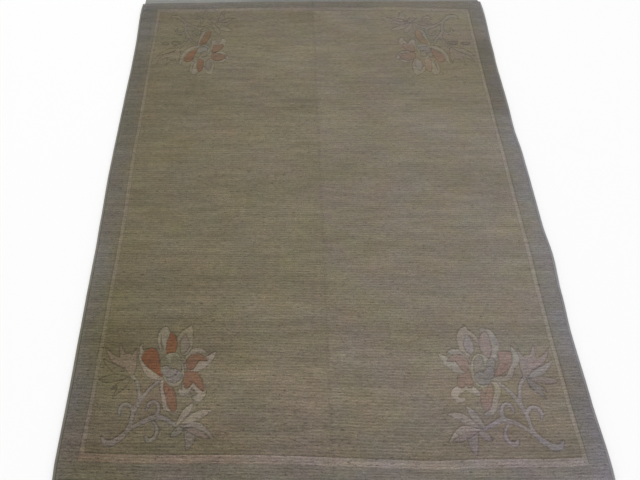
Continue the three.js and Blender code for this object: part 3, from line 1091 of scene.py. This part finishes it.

# %% [markdown]
# ## The four corners
# The spray is mirrored into each corner. The far ones were woven last and stand a little taller,
# because the weaver beat the rows less hard there: `width` and `stretch` are each spray's size
# across and along, as shares of the first one's. Light and feet have changed each corner in
# its own way: `fade` is how far its yarns have gone to their faded colours, `flower_wear` and
# `leaf_wear` how far the petals and the leaves have gone to the field's colour, `leaf_umber` how
# dark its lowest bud leaves are and `dim` how bright all of it is. `line` says how dark the
# painted shade in its carved lines is. A small wobble keeps the outlines from being alike: no two
# hand-knotted flowers are.

# %% Corners
PANEL_INNER_X = 252.8 * MM
PANEL_INNER_Y = 464 * MM
MOTIF_CELL = 1.6 * MM
FLOWER_OUTER = 135 * MM  # this far from the stripe, a narrower spray still lies in its place
WOBBLE = 1.6 * MM
RAGGED = 0.5 * MM
PROBE = 0.25 * MM        # how far apart a line's slope is measured, either way
LEAST_SLOPE = 0.5
FIXED_RIM = 2 * MM       # of a panel, where no vertex moves
CORNERS = [
    {"corner": "near_left", "side": -1, "end": -1, "drawing": "first", "seed": 31,
     "width": 1.0, "stretch": 1.0, "line": 1.0, "dim": 1.0,
     "fade": 0.05, "flower_wear": 0.0, "leaf_wear": 0.0, "leaf_umber": 0.2},
    {"corner": "near_right", "side": 1, "end": -1, "drawing": "near right", "seed": 32,
     "width": 1.0, "stretch": 1.02, "line": 0.65, "dim": 1.0,
     "fade": 0.9, "flower_wear": 0.12, "leaf_wear": 0.05, "leaf_umber": 0.0},
    {"corner": "far_left", "side": -1, "end": 1, "drawing": "far", "seed": 33,
     "width": 0.92, "stretch": 1.08, "line": 0.75, "dim": 0.88,
     "fade": 0.15, "flower_wear": 0.16, "leaf_wear": 0.65, "leaf_umber": 0.35},
    {"corner": "far_right", "side": 1, "end": 1, "drawing": "far", "seed": 34,
     "width": 0.99, "stretch": 1.08, "line": 0.7, "dim": 0.93,
     "fade": 0.8, "flower_wear": 0.24, "leaf_wear": 0.65, "leaf_umber": 0.5},
]
UMBER_LEAVES = ["bud leaf low", "bud leaf middle"]


def stripe_inner(side):
    """How far the stripe's inner line is from the middle, on the left (-1) or right (1)."""
    return GUARD_LEFT_INNER if side < 0 else GUARD_RIGHT_INNER


def corner_motif(x, y, corner):
    """The motif's distances and owners for places on the chart, in one corner of it."""
    seed = corner["seed"]
    wobble_x = soft_noise(x, y, 0.03, 0.03, seed) * WOBBLE
    wobble_y = soft_noise(x, y, 0.03, 0.03, seed + 10) * WOBBLE
    ragged = soft_noise(x, y, 0.0045, 0.0045, seed + 20) * RAGGED
    from_stripe = stripe_inner(corner["side"]) - np.abs(x)
    across = (from_stripe - FLOWER_OUTER) / corner["width"] + FLOWER_OUTER + wobble_x + ragged
    along = (GUARD_END_INNER - np.abs(y)) / corner["stretch"] + wobble_y - ragged
    return motif_at(across, along, SPINES[corner["drawing"]])


def mixed(first, second, share):
    """Two dyes mixed, with the given share of the second."""
    return first * (1 - share) + second * share


def shape_dye(shape, corner):
    """The dye of one shape in one corner: faded, dimmed and rubbed as that corner is."""
    dye = mixed(YARN[shape["yarn"]], YARN[shape["faded"]], corner["fade"]) * corner["dim"]
    if corner["end"] > 0:
        dye = dye * np.array(shape["far_tint"])
    wear = corner["flower_wear"] if shape in PETALS else corner["leaf_wear"]
    dye = mixed(dye, YARN["olive"], wear)
    if shape["shape"] in UMBER_LEAVES:
        dye = mixed(dye, YARN["umber"], corner["leaf_umber"])
    return dye


def corner_paint(corner):
    """Paint for a flower panel: the grooves and dyes of its motif over the field's own."""
    dyes = np.array([*[shape_dye(shape, corner) for shape in MOTIF], YARN["olive"]])

    def paint(x, y):
        outline, owner = corner_motif(x, y, corner)
        return outline, dyes[owner] * abrash(x, y)
    return paint


def corner_fit(corner, columns, rows):
    """Moves the vertices beside a carved line onto it, so that the line is crisp."""
    def outline_at(x, y):
        return corner_motif(x, y, corner)[0]

    def fit(x, y):
        outline = outline_at(x, y)
        slope_x = (outline_at(x + PROBE, y) - outline_at(x - PROBE, y)) / (2 * PROBE)
        slope_y = (outline_at(x, y + PROBE) - outline_at(x, y - PROBE)) / (2 * PROBE)
        steep = np.maximum(np.hypot(slope_x, slope_y), LEAST_SLOPE)
        rim_x = np.minimum(x - min(columns), max(columns) - x)
        rim_y = np.minimum(y - min(rows), max(rows) - y)
        close = (outline < 0.5 * MOTIF_CELL) & (np.minimum(rim_x, rim_y) > FIXED_RIM)
        move = np.where(close, outline / steep**2, 0)
        return x - slope_x * move, y - slope_y * move
    return fit


for corner in CORNERS:
    columns = lines(PANEL_INNER_X, stripe_inner(corner["side"]), MOTIF_CELL, NO_LIP, LIP)
    rows = lines(PANEL_INNER_Y, GUARD_END_INNER, MOTIF_CELL, NO_LIP, LIP)
    columns = columns if corner["side"] > 0 else mirrored(columns)
    rows = rows if corner["end"] > 0 else mirrored(rows)
    name = "flower_" + corner["corner"]
    fit = corner_fit(corner, columns, rows)
    flower = pile_block(name, columns, rows, corner_paint(corner), fit=fit, line=corner["line"])

# %% [markdown]
# ## Field, guard stripe and border
# The field is a cross: a rectangle without the four flower corners. The stripe and the border are
# frames, cut from a grid by taking its middle away. Across the field nothing changes fast, so
# its columns are ten millimetres apart, but its rows are two apart, to hold the ridges.

# %% Plain blocks
ROW_CELL = 2 * MM
COLUMN_CELL = 10.5 * MM
STRIPE_CELL = 5 * MM
BORDER_CELL = 8 * MM
LEAN = [0, 0.8 * MM, 2 * MM, 4 * MM, 7 * MM, 10 * MM]    # lines beside a rounded edge


def in_field(x, y):
    """True where the field isn't taken up by a flower panel."""
    return (np.abs(x) <= PANEL_INNER_X) | (np.abs(y) <= PANEL_INNER_Y)


def outside_inner(x, y):
    """True past the stripe's inner line."""
    return guard_distances(x, y)[0] > 0


def outside_outer(x, y):
    """True past the stripe's outer line."""
    return guard_distances(x, y)[1] > 0


join_lines = [JOIN_OFFSET + step for step in (-JOIN_HALF, -1 * MM, 0, 1 * MM, JOIN_HALF)]
field_columns = joined(
    lines(-GUARD_LEFT_INNER, -PANEL_INNER_X, COLUMN_CELL, LIP),
    lines(-PANEL_INNER_X, join_lines[0], COLUMN_CELL),
    join_lines,
    lines(join_lines[-1], PANEL_INNER_X, COLUMN_CELL),
    lines(PANEL_INNER_X, GUARD_RIGHT_INNER, COLUMN_CELL, NO_LIP, LIP),
)
far_rows = lines(PANEL_INNER_Y, GUARD_END_INNER, ROW_CELL, NO_LIP, LIP)
field_rows = joined(mirrored(far_rows), lines(-PANEL_INNER_Y, PANEL_INNER_Y, ROW_CELL), far_rows)
field = pile_block("field_pile", field_columns, field_rows, plain("olive", abrash), in_field)

left_outer, right_outer = GUARD_LEFT_INNER + GUARD_SIDE_WIDTH, GUARD_RIGHT_INNER + GUARD_SIDE_WIDTH
stripe_left = lines(-left_outer, -GUARD_LEFT_INNER, STRIPE_CELL, LIP, LIP)
stripe_right = lines(GUARD_RIGHT_INNER, right_outer, STRIPE_CELL, LIP, LIP)
stripe_far = lines(GUARD_END_INNER, GUARD_END_OUTER, ROW_CELL, LIP, LIP)
stripe_columns = joined(stripe_left, field_columns, stripe_right)
stripe_rows = joined(mirrored(stripe_far), field_rows, stripe_far)
stripe_paint = plain("pale_rose", stripe_run)
stripe = pile_block("guard_stripe", stripe_columns, stripe_rows, stripe_paint, outside_inner)

border_left = lines(-PILE_HALF_WIDTH, -left_outer, BORDER_CELL, LEAN, LIP)
border_right = lines(right_outer, PILE_HALF_WIDTH, BORDER_CELL, LIP, LEAN)
border_far = lines(GUARD_END_OUTER, PILE_HALF_LENGTH, ROW_CELL, LIP, LEAN)
border_columns = joined(border_left, stripe_columns, border_right)
border_rows = joined(mirrored(border_far), stripe_rows, border_far)
border_paint = plain("grey_brown", border_run)
border = pile_block("border_pile", border_columns, border_rows, border_paint, outside_outer)

# %% [markdown]
# ## The woven ground
# Under the pile lies the cloth that carries it, warps and wefts beaten tight. Past the pile at
# each end it runs on as a short flat-woven strip of undyed grey weft, a little soiled, with the
# warp ends turned in. Its underside is filled from its rim, so it is a plain weave in the border's
# grey brown. It is one closed sheet, three millimetres thick, and it stands for the whole rug
# where the frame asks for a flat cloth.

# %% Woven ground
WEFT_PITCH = 2 * MM
WARP_PITCH = 3 * MM
GROUND_COLUMN = 10 * MM
GROUND_ROW = 20 * MM
SOIL_DEPTH = 0.24        # the end strips are darkest a little right of the middle
SOIL_MIDDLE = 60 * MM
SOIL_CLEAN = 360 * MM    # to either side of there the soil ends, and is full this near it
SOIL_FULL = 220 * MM


def flat_weave():
    """Tight weft-faced cloth: fine ribs across the rug, crossed by the rounds over each warp."""
    material, shader = fresh_material("flat_weave", roughness=0.9, sheen=0.08)
    tree = material.node_tree
    chart = stored(tree, "chart", "Vector")
    parts = node(tree, "ShaderNodeSeparateXYZ", {0: chart})
    weft = ripple(tree, "SINE", parts.outputs["Y"], WEFT_PITCH)
    warp = ripple(tree, "SINE", parts.outputs["X"], WARP_PITCH)
    weave = math_node(tree, "ADD", weft, product(tree, warp, 0.6))
    streaks = stretched_noise(tree, chart, (30, 400, 1), detail=3.0)
    # painted shade between the ribs and a faint painted highlight on their crests, from the same weave as
    # the bump
    value = product(tree, spread(tree, streaks, 0.88, 1.1), ranged(tree, weave, -1.6, 1.0, 0.8, 1.04))
    lit = lit_by(tree, stored(tree, "dye", "Color"), value)
    cover(tree, shader, lit, weave, depth=0.25 * MM, strength=0.8)
    return material


def ground_dye(x, y, underneath):
    """Undyed grey weft, and below the pile the border's yarn."""
    bare = ~underneath | (np.abs(y) > PILE_HALF_LENGTH)
    soil = 1 - SOIL_DEPTH * ramp(-np.abs(x - SOIL_MIDDLE), -SOIL_CLEAN, -SOIL_FULL)
    return np.where(bare[:, None], YARN["grey_weft"] * soil[:, None], YARN["grey_brown"])


def woven_ground():
    """The cloth under the pile and past its ends."""
    strip_rows = lines(PILE_HALF_LENGTH, HALF_LENGTH, ROW_CELL)
    body_rows = lines(-PILE_HALF_LENGTH, PILE_HALF_LENGTH, GROUND_ROW)
    columns = lines(-PILE_HALF_WIDTH, PILE_HALF_WIDTH, GROUND_COLUMN)
    bm = chart_grid(columns, joined(mirrored(strip_rows), body_rows, strip_rows))
    close_below(bm)
    cloth = finish_piece(bm, "woven_ground", flat_weave())
    x, y, z = read_places(cloth.data).T
    underneath = z < -0.5
    height = np.where(underneath, 0, GROUND_HEIGHT)
    write_places(cloth.data, waved_across(x, y), bowed_along(x, y), height)
    store_looks(cloth.data, (x, y, height), ground_dye(x, y, underneath))
    return cloth


ground = woven_ground()
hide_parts("knotted_rug")
print("woven_ground:", len(ground.data.vertices), "vertices")

# %% [markdown]
# ## Overcast side cords
# Along each long edge the outermost warps are bound into a cord, and yarn is wound over it, turn
# beside turn, with a slight slant. A flat grid is rolled up into a tube: one direction of the
# grid runs along the cord, the other goes round it. The radius swells and sinks once for each
# turn of yarn, so the turns are real relief, and the seam of the roll is merged. Painted shade
# darkens the crease between turns and a faint painted highlight lightens their crowns. The grey
# yarn follows the dye changes and painted light of the pile beside it, but less.

# %% Side cords
CORD_GAP = 0.3 * MM
CORD_WIDTH = 8 * MM
CORD_LIFT = 0.15 * MM    # the cord's underside is flattened this far above the floor
TURN_PITCH = 3.4 * MM
TURN_DEPTH = 0.32 * MM
TURN_SLANT = 0.9
CORD_SIDES = 12
RINGS_PER_TURN = 4
CORD_END = 5 * MM        # length over which the winding thins out at each end
THIN_END = 0.6           # the cord's thickness there, as a share
SQUARENESS = 3           # 2 would be a round cord
CORD_TINT_SHARE = 0.8        # the share of the pile's dye changes and painted light that the cord takes


def overcast_yarn():
    """Wound yarn: painted highlight on each crown, painted shade in each crease, dye drifting along it."""
    material, shader = fresh_material("overcast_yarn", roughness=0.85, sheen=0.12)
    tree = material.node_tree
    chart = stored(tree, "chart", "Vector")
    drift = stretched_noise(tree, chart, (1, 18, 1), detail=4.0)
    fibre = stretched_noise(tree, chart, (260, 900, 260), detail=2.0)
    # painted shade in the crease between turns and a faint painted highlight on their crowns
    crease = ranged(tree, stored(tree, "groove", "Fac"), 0.0, 1.0, 1.04, 0.72)
    value = product(tree, spread(tree, drift, 0.86, 1.1), spread(tree, fibre, 0.88, 1.1), crease)
    lit = lit_by(tree, stored(tree, "dye", "Color"), value)
    cover(tree, shader, lit, fibre, depth=0.3 * MM, strength=0.6)
    return material


OVERCAST = overcast_yarn()


def winding_sink(along, turn, side):
    """How deep a place lies between the turns of yarn: 0 on a crown, 1 in the crease."""
    slant = side * TURN_SLANT * np.sin(turn)
    return 0.5 - 0.5 * np.cos(2 * np.pi * along / TURN_PITCH + slant)


def cord_tube(rings, side):
    """A flat grid rolled up into a wound tube along y, with closed ends."""
    bm = bmesh.new()
    bmesh.ops.create_grid(bm, x_segments=CORD_SIDES, y_segments=rings, size=0.5)
    for vert in bm.verts:
        turn = (vert.co.x + 0.5) * 2 * math.pi
        along = vert.co.y * 2 * PILE_HALF_LENGTH
        inset = min(1, (PILE_HALF_LENGTH - abs(along)) / CORD_END)
        radius = CORD_WIDTH / 2 - TURN_DEPTH * winding_sink(along, turn, side)
        radius *= THIN_END + (1 - THIN_END) * math.sqrt(inset)
        round_sum = abs(math.cos(turn)) ** SQUARENESS + abs(math.sin(turn)) ** SQUARENESS
        radius /= round_sum ** (1 / SQUARENESS)
        vert.co = (radius * math.cos(turn), along, radius * math.sin(turn))
    bmesh.ops.remove_doubles(bm, verts=bm.verts, dist=0.01 * MM)
    ends = [edge for edge in bm.edges if edge.is_boundary]
    bmesh.ops.holes_fill(bm, edges=ends)
    bmesh.ops.recalc_face_normals(bm, faces=bm.faces)
    for face in bm.faces:
        face.smooth = len(face.verts) == 4
    return bm


def side_cord(name, side, node_name):
    """A wound cord along one long edge: side is -1 for the left, 1 for the right."""
    rings = round(2 * PILE_HALF_LENGTH / TURN_PITCH * RINGS_PER_TURN)
    cord = finish_piece(cord_tube(rings, side), name, OVERCAST)
    across, y, up = read_places(cord.data).T
    edge_x = np.full(len(y), side * PILE_HALF_WIDTH)
    out = np.abs(waved_across(edge_x, y)) + CORD_GAP + CORD_WIDTH / 2 + across
    if side < 0:
        cord.data.flip_normals()
    above_floor = np.maximum(up + CORD_WIDTH / 2, CORD_LIFT)
    write_places(cord.data, side * out, bowed_along(edge_x, y), above_floor)
    # the cord takes a share of the pile's dye changes and painted light at its edge
    dye = YARN["grey_cord"] * (1 - CORD_TINT_SHARE + CORD_TINT_SHARE * dye_and_painted_light(edge_x, y))
    # the crease depth goes into the groove attribute, which the yarn's material turns into painted shade
    store_looks(cord.data, (across, y, up), dye, winding_sink(y, np.arctan2(up, across), side))
    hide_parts(node_name)
    print(f"{name}: {rings} rings, {rings // RINGS_PER_TURN} turns of yarn")
    return cord


cords = [
    side_cord("overcast_left", -1, "side_cord_left"),
    side_cord("overcast_right", 1, "side_cord_right"),
]
